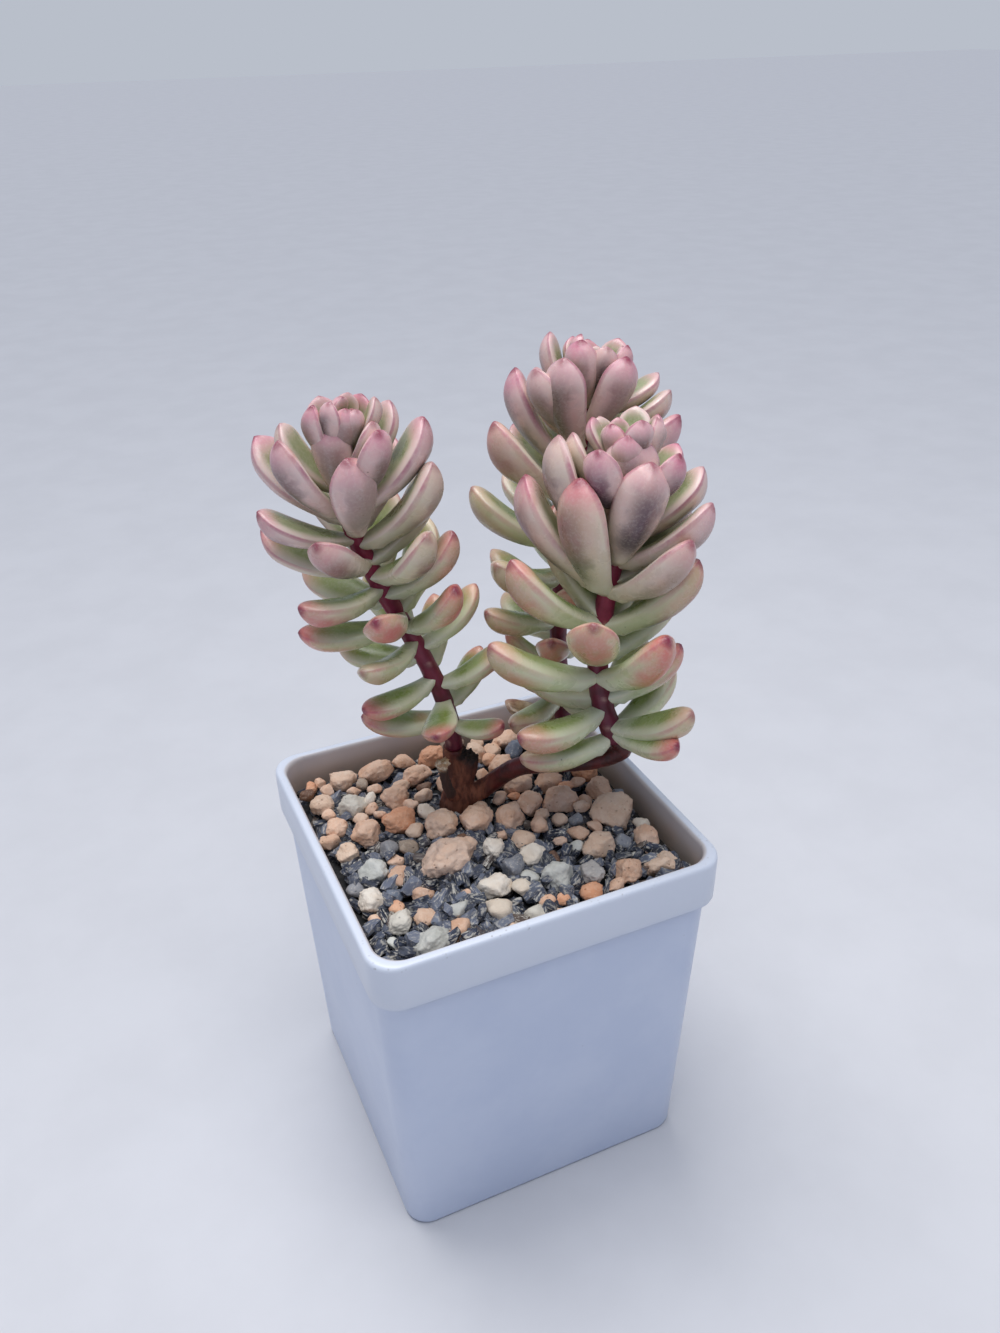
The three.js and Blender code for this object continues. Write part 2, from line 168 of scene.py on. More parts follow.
def speckGroup():
    # small round specks in a share of the cells
    nodes, mask, spot, scale, size, share = newGroup("specks", "Mask", "Scale", "Size", "Share")
    cells = nodes.add("ShaderNodeTexVoronoi", {"Vector": spot, "Scale": scale, "Randomness": 1}).outputs
    chance = nodes.add("ShaderNodeSeparateColor", {0: cells["Color"]}).outputs[0]
    near = nodes.ramp(cells["Distance"], size, 0)
    nodes.feed(mask, nodes.times(nodes.sums("LESS_THAN", chance, share), near))
    return nodes.tree


def reliefGroup():
    # coarse lumps with fine grain on them, as a height
    nodes, height, spot, coarse, fine, fineShare = newGroup("relief", "Height", "Coarse", "Fine", "FineShare")
    both = {0: fineShare, 2: nodes.cloud(spot, coarse, 2), 3: nodes.cloud(spot, fine, 3)}
    nodes.feed(height, nodes.add("ShaderNodeMix", both).outputs[0])
    return nodes.tree


effects = dict(mottle=mottleGroup(), specks=speckGroup(), relief=reliefGroup())


# Modelling helpers

def draw(number):
    # a repeatable draw from 0 to 1 for a whole number
    value = sin(number * 12.9898 + 78.233) * 43758.5453
    return value % 1


def draws(first, count):
    return [draw(first + k) for k in range(count)]


def between(ends, share):
    return ends[0] + (ends[1] - ends[0]) * share


def smoothStep(low, high, value):
    share = min(max((value - low) / (high - low), 0), 1)
    return share * share * (3 - 2 * share)


def selectAll():
    bpy.ops.mesh.select_all(action="SELECT")


def deselectAll():
    if bpy.context.object and bpy.context.object.mode != "OBJECT":
        bpy.ops.object.mode_set(mode="OBJECT")
    bpy.ops.object.select_all(action="DESELECT")


def pickOnly(piece):
    deselectAll()
    piece.select_set(True)
    bpy.context.view_layer.objects.active = piece


def startPiece(add, name, **settings):
    deselectAll()
    add(**settings)
    piece = bpy.context.object
    piece.name = name
    return piece


def editAll(piece):
    pickOnly(piece)
    bpy.ops.object.mode_set(mode="EDIT")
    selectAll()


def leaveEdit():
    # with every face turned outwards
    selectAll()
    bpy.ops.mesh.normals_make_consistent(inside=False)
    bpy.ops.object.mode_set(mode="OBJECT")


def drawOut(axis, start, end, share):
    # the selection is extruded along X (0) or Z (2) and scaled about that axis
    move, middle, scale = [0] * 3, [0] * 3, [share] * 3
    move[axis], middle[axis], scale[axis] = end - start, end, 1
    bpy.ops.mesh.extrude_region_move(TRANSFORM_OT_translate={"value": move})
    bpy.ops.transform.resize(value=scale, center_override=middle)


def addModifier(piece, name, kind, **settings):
    made = piece.modifiers.new(name, kind)
    for key, value in settings.items():
        setattr(made, key, value)


def finishShape(piece):
    # every modifier is applied, and the place goes into the mesh
    pickOnly(piece)
    for modifier in list(piece.modifiers):
        bpy.ops.object.modifier_apply(modifier=modifier.name)
    bpy.ops.object.transform_apply(location=True, rotation=True, scale=True)


def wearSmooth(piece, voxel, rounds):
    # one even skin round all that a piece holds, with its edges worn
    addModifier(piece, "evenSkin", "REMESH", mode="VOXEL", voxel_size=voxel)
    addModifier(piece, "wornEdges", "SMOOTH", factor=0.5, iterations=rounds)
    finishShape(piece)


def smoothShade(piece):
    pickOnly(piece)
    bpy.ops.object.shade_smooth()


def meshPiece(name, points, faces):
    mesh = bpy.data.meshes.new(name)
    mesh.from_pydata([tuple(p) for p in points], [], faces)
    piece = bpy.data.objects.new(name, mesh)
    bpy.context.scene.collection.objects.link(piece)
    return piece


def pointsOf(piece):
    flat = np.empty(len(piece.data.vertices) * 3)
    piece.data.vertices.foreach_get("co", flat)
    return flat.reshape(-1, 3)


def setPoints(piece, points):
    piece.data.vertices.foreach_set("co", np.asarray(points, float).ravel())
    piece.data.update()


def takeShape(piece):
    # points and faces of a piece that was a template
    shape = (pointsOf(piece), [tuple(face.vertices) for face in piece.data.polygons])
    bpy.data.objects.remove(piece)
    return shape


def unitSize(points):
    return points / np.abs(points).max(axis=0)


def writeAttribute(piece, name, rows):
    made = piece.data.attributes.new(name, "FLOAT_VECTOR", "POINT")
    made.data.foreach_set("vector", np.asarray(rows, float).ravel())


def standsFor(piece, slotName, node, *skins):
    for skin in skins:
        piece.data.materials.append(skin)
    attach(piece, "root")
    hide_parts(node)


# Camera, lights, sky and floor

cameraPlace = dict(spot=(-54.08, -131.59, 167.6), turn=-23.578, tilt=30.019, roll=-1.2246, lens=30.27)

# kind, place, aim and settings of each lamp
lamps = dict(
    softbox=("AREA", (0, -90, 430), (0, 0, 70), dict(size=240 * mm, energy=0.75)),
    daylight=("SUN", (-60, 240, 660), (0, 0, 0), dict(energy=1.6, angle=radians(34))))
studio = dict(
    floorSize=9000, floorColours=("#cdccce", "#d1d0d2"), sky="#c6d5f1", skyStrength=0.48, backdrop="#b9bfca")


def setCamera(spot, turn, tilt, roll, lens):
    camera = startPiece(bpy.ops.object.camera_add, "photoCamera", location=Vector(spot) * mm)
    turn, tilt = radians(turn), radians(tilt)
    back = Vector((sin(turn) * cos(tilt), -cos(turn) * cos(tilt), sin(tilt)))
    facing = (-back).to_track_quat("-Z", "Y").to_matrix() @ Matrix.Rotation(radians(roll), 3, "Z")
    camera.rotation_euler = facing.to_euler()
    camera.data.lens = lens
    camera.data.sensor_width = 36
    camera.data.clip_start = 5 * mm
    bpy.context.scene.camera = camera


def addLamp(name, kind, spot, aim, settings):
    lamp = startPiece(bpy.ops.object.light_add, name, type=kind, location=Vector(spot) * mm)
    for key, value in settings.items():
        setattr(lamp.data, key, value)
    lamp.rotation_euler = (Vector(aim) * mm - lamp.location).to_track_quat("-Z", "Y").to_euler()


def makeSky():
    # cool light all round; past the floor the camera sees a plain pale backdrop
    world = bpy.data.worlds.new("studioSky")
    world.use_nodes = True
    nodes = Nodes(world.node_tree)
    sky = nodes.add("ShaderNodeBackground", {"Color": studio["sky"], "Strength": studio["skyStrength"]})
    backdrop = nodes.add("ShaderNodeBackground", {"Color": studio["backdrop"]})
    seen = nodes.add("ShaderNodeLightPath").outputs["Is Camera Ray"]
    both = nodes.add("ShaderNodeMixShader", {0: seen, 1: sky.outputs[0], 2: backdrop.outputs[0]})
    nodes.feed(nodes.tree.nodes["World Output"].inputs["Surface"], both.outputs[0])
    bpy.context.scene.world = world


def makeFloor():
    floor = startPiece(bpy.ops.mesh.primitive_plane_add, "paleFloor", size=studio["floorSize"] * mm)
    look = Look("paleFloorPaint")
    shades = look.blend(look.mottle(look.spot, 40, 0.3, 0.7), *studio["floorColours"])
    floor.data.materials.append(look.finish(shades, 0.75))


setCamera(**cameraPlace)
for name, lamp in lamps.items():
    addLamp(name, *lamp)
makeSky()
makeFloor()
bpy.context.scene.view_settings.view_transform = "Standard"
print("camera, lights and floor")


# Pot

pot = dict(
    side=55, height=60, underSide=47.3, underCorner=3.7, cornerSteps=10, floorInside=45.6, rimWall=1.7,
    bandFoot=52, innerCorner=3.4, drainRadius=2.5, drainSpread=11, drainSides=32, drainPunch=8,
    softEdge=0.18, softAngle=50, smoothAngle=38)

# height and side of each ring, up the outside, over the lip and down inside
potRings = [
    (0.1, 48.05), (0.35, 48.5), (0.8, 48.75), (26, 50.75), (51.3, 52.72), (51.75, 52.8), (52.0, 53.05),
    (52.02, 54.3), (52.12, 54.62), (52.4, 54.8), (55.8, 54.9), (59.1, 55.0), (59.55, 54.92), (59.85, 54.66),
    (60.0, 54.2), (60.0, 52.7), (59.88, 52.15), (59.6, 51.8), (59.1, 51.64), (45, 50.1), (24, 47.9),
    (3.2, 45.74), (2.3, 45.4), (1.86, 44.7), (1.8, 43.8)]


def potPlastic():
    look = Look("whitePotPlastic")
    spot, times, ramp = look.spot, look.times, look.ramp
    y, z = look.placeInMm()[1:]
    top, band = pot["height"], pot["bandFoot"]
    # dusty inside, more so further down
    dusty = times(look.read("potForm")[0], ramp(ramp(z, top, top - 5.2), 0, 1, 0.55, 0.95))
    # soil on the lip, most at the front, stray specks below and a painted shadow line under the band
    frontLip = times(ramp(z, top - 1.2, top - 0.2), ramp(y, -14, -26, 0.18, 1))
    soil = times(frontLip, look.mottle(spot, 160, 0.46, 0.66), look.specks(spot, 1900, 0.5, 0.34))
    stray = times(look.specks(spot, 420, 0.11, 0.055), ramp(z, 35, 58, 0.25, 1))
    # painted shadow: a darker stripe just under the band's ledge
    shadowUnderBand = times(ramp(z, band - 1.7, band - 0.1), ramp(z, band + 0.3, band))
    plastic = look.blend(look.mottle(spot, 70, 0.35, 0.7), "#cbd4e8", "#d2daec")
    colour = look.layers(
        plastic, (ramp(z, band - 0.5, band + 1), "#dfe3ec", 0.8), (dusty, "#c4b2a4"), (soil, "#6f5d47", 0.62),
        (stray, "#5c5348", 0.7), (shadowUnderBand, "#8d8578", 0.25))
    worn = look.sums("MAXIMUM", times(dusty, 0.6), soil)
    height = look.relief(spot, 60, 900, 0.12)
    return look.finish(colour, ramp(worn, 0, 1, 0.34, 0.7), (height, 0.25, 0.25), (0.08, (2, 2, 2)))


def insidePot(point):
    # within the walls and above the floor, corners rounded
    wall = between((pot["floorInside"], pot["side"] - 2 * pot["rimWall"]), point[2] / pot["height"]) / 2
    past = [max(abs(part) - wall + pot["innerCorner"], 0) for part in point[:2]]
    return hypot(*past) - pot["innerCorner"] < 0.35 and point[2] > 1.5


def makePot():
    piece = startPiece(bpy.ops.mesh.primitive_plane_add, "squarePot", size=pot["underSide"] * mm)
    editAll(piece)
    bpy.ops.mesh.bevel(affect="VERTICES", offset=pot["underCorner"] * mm, segments=pot["cornerSteps"])
    selectAll()
    for (low, before), (high, side) in zip([(0, pot["underSide"]), *potRings], potRings):
        drawOut(2, low * mm, high * mm, side / before)
    selectAll()
    bpy.ops.mesh.remove_doubles(threshold=1e-7)
    leaveEdit()
    spread = pot["drainSpread"] * mm
    for x, y in ((-spread, -spread), (-spread, spread), (spread, -spread), (spread, spread)):
        punch = startPiece(
            bpy.ops.mesh.primitive_cylinder_add, "punch", vertices=pot["drainSides"],
            radius=pot["drainRadius"] * mm, depth=pot["drainPunch"] * mm, location=(x, y, 0))
        addModifier(piece, "drainHole", "BOOLEAN", object=punch, operation="DIFFERENCE", solver="EXACT")
        finishShape(piece)
        bpy.data.objects.remove(punch)
    addModifier(piece, "softEdge", "BEVEL", width=pot["softEdge"] * mm, segments=2, limit_method="ANGLE",
                angle_limit=radians(pot["softAngle"]))
    finishShape(piece)
    bpy.ops.object.shade_smooth_by_angle(angle=radians(pot["smoothAngle"]))
    writeAttribute(piece, "potForm", [(insidePot(point), 0, 0) for point in pointsOf(piece) / mm])
    standsFor(piece, "pot", "pot", potPlastic())


makePot()
print("pot")


# Grit and stones

grit = dict(
    surface=54.4, mound=2.2, foot=2.1, side=50.3, footShare=0.894, corner=3.1, steps=40, brimDrop=0.6,
    soilDrop=1.1, lumps=0.75, chipKinds=5, chipRows=23, chipLayers=[(-0.5, 1.0), (0.35, 1.0), (1.1, 0.4)],
    chipLength=(2.2, 3.7), chipWidth=(0.46, 0.66), chipDepth=(0.38, 0.56), chipCuts=4, chipCutDepth=0.78,
    chipMargin=1.2, pebbles=130, pebbleTries=6000, pebbleLength=(2.6, 5.2), pebbleMargin=1.6,
    pebbleBumps=0.1, trunkFoot=(-1.9, 6.9), trunkReach=3.2)

stoneShape = dict(depth=0.86, raised=0.26, fuller=1.08, cutDepth=(0.58, 0.84), lumps=0.1, bumps=0.11,
                  peachBumps=0.17)

# kind, then middle x and y, length, width and turn of each stone on the grit
stoneRuns = [
    ("peach", [(-8.8, -6.9, 9.6, 6.4, 10)]),
    ("tan", [(-1.6, -0.4, 6, 5.2, 40), (-6.8, 1.6, 5.4, 4.6, 0), (4, -1.2, 5, 4.6, 80),
        (8.8, 6.4, 4.6, 4.2, 20), (8.4, 0.6, 4.8, 4, 50), (-12.2, 6, 5.4, 4.6, 0),
        (-10.8, 12, 4.8, 4.2, 60), (-5.2, 16.6, 4.8, 4, 0), (-10.8, 20.8, 6.2, 4.4, 10),
        (-17, 21.6, 5, 4.2, 0), (-21.8, 16.6, 4.6, 3.8, 90), (-21.6, 10, 4.2, 3.6, 90),
        (-17.8, 5.4, 5.4, 4.4, 30), (-22, 2.6, 4.2, 3.6, 80)]),
    ("cream", [(-21.9, -9.4, 4.4, 3.8, 80), (-1.5, -6.6, 4, 3.6, 70), (-4.6, -14.8, 4.8, 4, 0)]),
    ("grey", [(-20, -3.6, 5, 4.4, 30), (-17.6, 13.4, 4.8, 4.2, 20), (-19.4, -15.4, 4.2, 3.6, 60),
        (-17, -20.8, 6, 4.2, 15)]),
    ("tan", [(13, -0.6, 6, 4.8, 0), (14, 5.4, 5, 4.2, 40), (21.4, 6.8, 5.2, 4.2, 90),
        (20.8, 0.6, 5.6, 4.4, 90), (19.8, -6.6, 7.8, 6, 15), (21.8, -14, 4.6, 3.8, 90),
        (20.6, -20.2, 5.6, 4.2, 10), (15.2, -19.4, 4.8, 3.8, 60), (14, -13, 6, 4.2, 0)]),
    ("cream", [(3.4, -10.6, 4, 3.6, 0)]),
    ("grey", [(5, -16.4, 5.8, 4.4, 20)]),
    ("slate", [(10.2, -17.4, 5.2, 3.6, 80), (-0.4, -11.6, 4.4, 3.4, 50)]),
    ("tan", [(-0.6, 21.2, 5.4, 4.4, 20), (6, 18.8, 5, 4.2, 70), (13.4, 20.2, 6, 4.4, 30)]),
    ("slate", [(20.6, 14, 4.6, 3.4, 60)]),
    ("tan", [(9, 12.4, 4.8, 4, 0)])]

# two body colours, a darker colour for some stones and for the painted shade in the pits, the pits' share,
# relief, roughness and dust
stoneLooks = dict(
    peach=("#f2cfb6", "#f6dcc9", "#c8987a", 0.16, 0.8, 0.85, 0.25),
    tan=("#e2b698", "#ecc9b0", "#bb8e70", 0.16, 0.7, 0.82, 0.28),
    orange=("#e2a47f", "#ebb896", "#bb7a55", 0.2, 0.75, 0.85, 0.2),
    cream=("#e6d7c5", "#f0e6d8", "#c2ad94", 0.12, 0.6, 0.75, 0.25),
    grey=("#c4c4bc", "#d6d5ce", "#9a988f", 0.08, 0.5, 0.7, 0.2),
    slate=("#6c7585", "#848c9a", "#4a505c", 0.1, 0.5, 0.55, 0.3),
    brown=("#6b4a39", "#80604c", "#46301f", 0.1, 0.5, 0.7, 0.25))

# of the loose pebbles, the share up to and with each kind
pebbleKinds = dict(tan=0.56, orange=0.68, cream=0.77, grey=0.86, brown=0.93, slate=1.0)


def onGrit(x, y, raised):
    # the grit is heaped in the middle
    reach = max(abs(x), abs(y)) / (pot["side"] / 2)
    return x, y, grit["surface"] + grit["mound"] * (1 - reach * reach) + raised


def tilts(chance, *widths):
    # each draw swings to either side of nothing
    return [(share - 0.5) * width for share, width in zip(chance, widths)]


def mineral(name, firstPaint, secondPaint, darkToneAndPitShade, pitShare, relief, rough, dust):
    look = Look(name)
    spot, ramp = look.spot, look.ramp
    darker, paler = look.read("stoneTone")[:2]
    # the pits are dented, and painted darker as painted shade inside them
    pits = look.specks(spot, 1500, 0.34, pitShare)
    fine = look.mottle(spot, 2600, 0.5, 0.72)
    colour = look.layers(
        look.blend(look.mottle(spot, 420, 0.35, 0.65), firstPaint, secondPaint),
        (ramp(darker, 0, 1, 0, 0.42), darkToneAndPitShade), (ramp(paler, 0.6, 1, 0, 0.4), "#e3d3bd"),
        (pits, darkToneAndPitShade, 0.8), (fine, "#f0e4d2", dust))
    height = look.sums("SUBTRACT", look.relief(spot, 900, 3600, 0.45), pits)
    return look.finish(colour, ramp(fine, 0, 1, rough - 0.06, rough + 0.08), (height, relief, 0.25))


def chipMineral():
    # dark flaky crystals with pale dust and a few glinting faces
    look = Look("darkFlakyGrit")
    ramp, grain = look.ramp, look.attribute("grainSpot")
    paler, dusted, browner = look.read("stoneTone")
    flecks = look.mottle(grain, 2.1, 0.49, 0.64)
    # some chips are paler at random; the paler chips are partly a painted reflection of the sky on glossy
    # faces
    colour = look.layers(
        look.blend(look.mottle(look.spot, 500, 0.35, 0.65), "#20242f", "#454c5e"),
        (ramp(paler, 0.45, 1), "#7a8090", 0.8), (ramp(browner, 0.88, 1), "#6d5c4e", 0.8),
        (flecks, "#c6c1b6", ramp(dusted, 0, 1, 0.4, 1)))
    glint = look.times(ramp(dusted, 0.82, 0.9), look.sums("SUBTRACT", 1, flecks))
    return look.finish(colour, ramp(glint, 0, 1, 0.62, 0.22), (look.relief(grain, 1.4, 5, 0.35), 0.9, 0.3))


def gapShadeBed():
    # the bed under the grit is painted near black, as painted shade in the gaps between the grains
    look = Look("darkGapShadeBed")
    colour = look.blend(look.mottle(look.spot, 500, 0.4, 0.6), "#15171c", "#2c2b2c")
    return look.finish(colour, 0.9, (look.relief(look.spot, 700), 0.8, 0.4))


def roundCorners(points, half, radius):
    # the square corners of a grid are drawn in to quarter circles
    for point in points:
        over = np.abs(point[:2]) - (half - radius)
        if min(over) > 0:
            point[:2] = np.copysign(half - radius + over * (max(over) / hypot(*over)), point[:2])


def makeBed():
    half, share, brim = grit["side"] / 2, grit["footShare"], grit["surface"] - grit["brimDrop"]
    piece = startPiece(
        bpy.ops.mesh.primitive_grid_add, "gritBed", x_subdivisions=grit["steps"],
        y_subdivisions=grit["steps"], size=grit["side"] * mm, location=(0, 0, grit["foot"] * mm))
    finishShape(piece)
    points = pointsOf(piece)
    roundCorners(points, half * mm, grit["corner"] * mm)
    setPoints(piece, points * np.array([share, share, 1]))
    editAll(piece)
    drawOut(2, grit["foot"] * mm, brim * mm, 1 / share)
    leaveEdit()
    points = pointsOf(piece)
    for point in points:
        if point[2] > (brim - 1) * mm:
            spot = Vector(point) / mm
            rise = onGrit(*spot.xy, -grit["soilDrop"])[2] + grit["lumps"] * noise.noise(spot * 0.9)
            inner = smoothStep(half, half * 0.9, max(abs(spot.x), abs(spot.y)))
            point[2] = between((brim, rise), inner) * mm
    setPoints(piece, points)
    smoothShade(piece)
    standsFor(piece, "grit", "grit_bed", gapShadeBed())


def cutFlat(number, depth):
    # across a drawn direction
    selectAll()
    out = Vector([part - 0.5 for part in draws(number, 3)]).normalized()
    bpy.ops.mesh.bisect(plane_co=out * depth, plane_no=out, use_fill=True, clear_outer=True)


def stoneTemplate(seed, rounds, cuts, voxel, smoothing):
    # a ball, cut flat in places, worn at its edges and made lumpy
    piece = startPiece(bpy.ops.mesh.primitive_ico_sphere_add, "stone", subdivisions=rounds, radius=1)
    editAll(piece)
    for cut in range(cuts):
        cutFlat(seed * 91 + cut * 7, between(stoneShape["cutDepth"], draw(seed * 37 + cut * 11)))
    leaveEdit()
    wearSmooth(piece, voxel, smoothing)
    points, faces = takeShape(piece)
    for point in points:
        coarse = Vector(point) * 1.7 + Vector((seed * 9.1, 0, 0))
        fine = Vector(point) * 4.1 + Vector((0, seed * 5.3, 0))
        point *= 1 + stoneShape["lumps"] * (noise.noise(coarse) + 0.5 * noise.noise(fine))
    return unitSize(points), faces


def chipTemplate(seed):
    # a block, roughened and cut at its corners
    piece = startPiece(bpy.ops.mesh.primitive_cube_add, "chip", size=1.6)
    editAll(piece)
    bpy.ops.mesh.subdivide(number_cuts=1)
    bpy.ops.transform.vertex_random(offset=0.26, seed=seed + 3)
    for cut in range(grit["chipCuts"]):
        cutFlat(seed * 53 + cut * 5, grit["chipCutDepth"])
    selectAll()
    bpy.ops.mesh.quads_convert_to_tris()
    leaveEdit()
    points, faces = takeShape(piece)
    return unitSize(points), faces


def pick(shapes, chance):
    return shapes[int(chance * len(shapes))]


def placedStone(shape, spot, size, turns, rolls, bumps, seed):
    # a template's copy: rolled about itself, brought to size, roughened, turned and laid down
    points = shape[0] @ np.array(Matrix.Rotation(rolls[0], 3, "X") @ Matrix.Rotation(rolls[1], 3, "Z"))
    points = unitSize(points) * np.array(size) / 2
    reach = max(size) / 2
    if bumps:
        offset = Vector((seed * 3.7, seed * 1.3, seed * 2.1))
        for point in points:
            place = Vector(point)
            rough = sum(strength * noise.noise(place * step / reach + offset)
                        for strength, step in ((0.8, 2.2), (0.6, 6), (0.35, 13)))
            point *= 1 + bumps * rough
    tiltX, tiltY, turn = [Matrix.Rotation(angle, 3, axis) for angle, axis in zip(turns, "XYZ")]
    return points @ np.array(turn @ tiltY @ tiltX).T + np.array(spot), shape[1]


def gather(name, copies):
    # placed copies become one piece; those with a grain stay sharp edged
    allPoints, allFaces, tones, grains = [], [], [], []
    start = 0
    for points, faces, tone, *grain in copies:
        allPoints.append(points * mm)
        allFaces.extend(tuple(start + k for k in face) for face in faces)
        tones.append(np.tile(tone, (len(points), 1)))
        grains.extend(grain)
        start += len(points)
    piece = meshPiece(name, np.concatenate(allPoints), allFaces)
    writeAttribute(piece, "stoneTone", np.concatenate(tones))
    if grains:
        writeAttribute(piece, "grainSpot", np.concatenate(grains))
    else:
        smoothShade(piece)
    return piece


def inAStone(x, y, taken, share=1, margin=0):
    return any(hypot(x - a, y - b) < radius * share + margin for a, b, radius in taken)


def heaped(x, y):
    # the loose stones lie thick at the back, round the trunk and along the right wall
    return smoothStep(-10, 2, y + 0.45 * x)


def nearTrunk(x, y, reach):
    return hypot(x - grit["trunkFoot"][0], y - grit["trunkFoot"][1]) < reach


def makeStones(minerals):
    # what comes back is the round of ground that each stone takes up
    shapes = [stoneTemplate(seed, 4, 6 + seed % 4, 0.09, 4 + 2 * (seed % 3)) for seed in range(8)]
    taken = []
    rows = [(kind, *row) for kind, run in stoneRuns for row in run]
    for number, (kind, x, y, length, width, turned) in enumerate(rows):
        chance = draws(number * 17, 8)
        depth = stoneShape["depth"] * width
        spot = onGrit(x, y, stoneShape["raised"] * depth)
        size = [stoneShape["fuller"] * side for side in (length, width, depth)]
        turns = (*tilts(chance, 0.5, 0.4), radians(turned))
        rolls = (chance[3] * 6.28, chance[4] * 6.28)
        bumps = stoneShape["peachBumps" if kind == "peach" else "bumps"]
        stone = placedStone(pick(shapes, chance[2]), spot, size, turns, rolls, bumps, number)
        look = "orange" if kind == "tan" and chance[5] > 0.74 else kind
        piece = gather(f"{kind}Stone{number + 1:02d}", [(*stone, chance[5:])])
        standsFor(piece, "stone_" + kind, f"stone_{kind}_{number + 1:02d}", minerals[look])
        taken.append((x, y, (length + width) / 4))
    return taken


def makePebbles(minerals, taken):
    # small loose stones between the others, most at the back and on the right
    shapes = [stoneTemplate(20 + seed, 3, 6 + seed % 3, 0.2, 3) for seed in range(7)]
    half = grit["side"] / 2 - grit["pebbleMargin"]
    heaps = {kind: [] for kind in pebbleKinds}
    number = 0
    while sum(len(heap) for heap in heaps.values()) < grit["pebbles"] and number < grit["pebbleTries"]:
        number += 1
        chance = draws(number * 23 + 500, 12)
        x, y = (2 * chance[0] - 1) * half, (2 * chance[1] - 1) * half
        length = between(grit["pebbleLength"], chance[2] ** 1.6)
        likely = heaped(x, y)
        if (chance[3] > 0.1 + 0.9 * likely or inAStone(x, y, taken, margin=length * 0.36)
                or nearTrunk(x, y, 3.4 + length * 0.3)):
            continue
        kind = next(kind for kind, share in pebbleKinds.items() if chance[4] < share)
        width = length * between((0.72, 0.95), chance[5])
        size = (length, width, width * between((0.6, 0.85), chance[6]))
        spot = onGrit(x, y, between((0.1, 0.9), chance[7]) + 0.5 * likely)
        turns = (*tilts(chance[8:], 0.9, 0.9), chance[10] * 6.28)
        rolls = (chance[8] * 6.28, chance[9] * 6.28)
        stone = placedStone(pick(shapes, chance[11]), spot, size, turns, rolls, grit["pebbleBumps"], number)
        heaps[kind].append((*stone, (chance[2], chance[5], chance[7])))
        taken.append((x, y, (length + width) / 4))
    for kind, heap in heaps.items():
        standsFor(gather(kind + "Pebbles", heap), "grit", "grit_bed", minerals[kind])


def makeChips(taken):
    # dark flaky grit in layers, the lower ones close and the top one sparse
    shapes = [chipTemplate(seed) for seed in range(grit["chipKinds"])]
    rows = grit["chipRows"]
    half = grit["side"] / 2 - grit["chipMargin"]
    edge = half + 1.4
    chips = []
    for layer, (raised, share) in enumerate(grit["chipLayers"]):
        for number in range(rows * rows):
            chance = draws(number * 13 + layer * 7001, 13)
            x = (2 * (number % rows + chance[0]) / rows - 1) * half
            y = (2 * (number // rows + chance[1]) / rows - 1) * half
            if chance[2] > share or inAStone(x, y, taken, 0.74) or nearTrunk(x, y, grit["trunkReach"]):
                continue
            length = between(grit["chipLength"], chance[3] ** 1.3)
            length = min(length, 2 * (edge - max(abs(x), abs(y))))
            size = (length, length * between(grit["chipWidth"], chance[4]),
                    length * between(grit["chipDepth"], chance[5]))
            drop, *turns = tilts(chance[6:], 0.8, 2.2, 1.1)
            spot = onGrit(x, y, raised - 1.1 * heaped(x, y) + drop)
            turns.append(chance[9] * 6.28)
            shape = pick(shapes, chance[10])
            grain = shape[0] * np.array(size) * np.array((0.45, 1.2, 1.2)) / 2 + number * 3.1
            chips.append((*placedStone(shape, spot, size, turns, (0, 0), 0, number), chance[10:], grain))
    standsFor(gather("flakyGritChips", chips), "grit", "grit_bed", chipMineral())


makeBed()
stoneMinerals = {kind: mineral(kind + "Mineral", *row) for kind, row in stoneLooks.items()}
groundTaken = makeStones(stoneMinerals)
print("stones")
makePebbles(stoneMinerals, groundTaken)
makeChips(groundTaken)
print("grit")


# Trunk and branch

wood = dict(
    root=[(-2.4, 6.4, 41), (-2.1, 6.8, 48), (-1.7, 7, 55), (-1.1, 7, 61)], rootRadius=(1, 3.15, 1.75),
    stubs=dict(
        sideShoot=([(-2.9, 4.8, 59.5), (-4, 3.8, 61.4), (-4.9, 3.4, 64), (-5.2, 3.6, 67)], (0.95, 0.68)),
        knob=([(-5.1, 3.6, 66.9), (-5.2, 3.8, 67.9)], (0.9, 1.05)),
        cutShoulder=([(-1.1, 6.8, 60.5), (0, 6.2, 64), (0.5, 6, 66)], (1.9, 1.4))),
    arms=dict(
        front=[(-0.8, 6.4, 57), (2.8, 4.4, 60.4), (6, 0.2, 65.6), (10, -4.4, 68), (15.4, -8.2, 69.4)],
        back=[(7.6, -2, 67), (12, 0.6, 66), (16.4, 5, 64)]),
    armRadius=(1.6, 1.35), footing=2, gap=0.3, curveSteps=6, roundness=5, voxel=0.2, smoothing=4,
    furrows=0.3, breakRoughness=0.55)

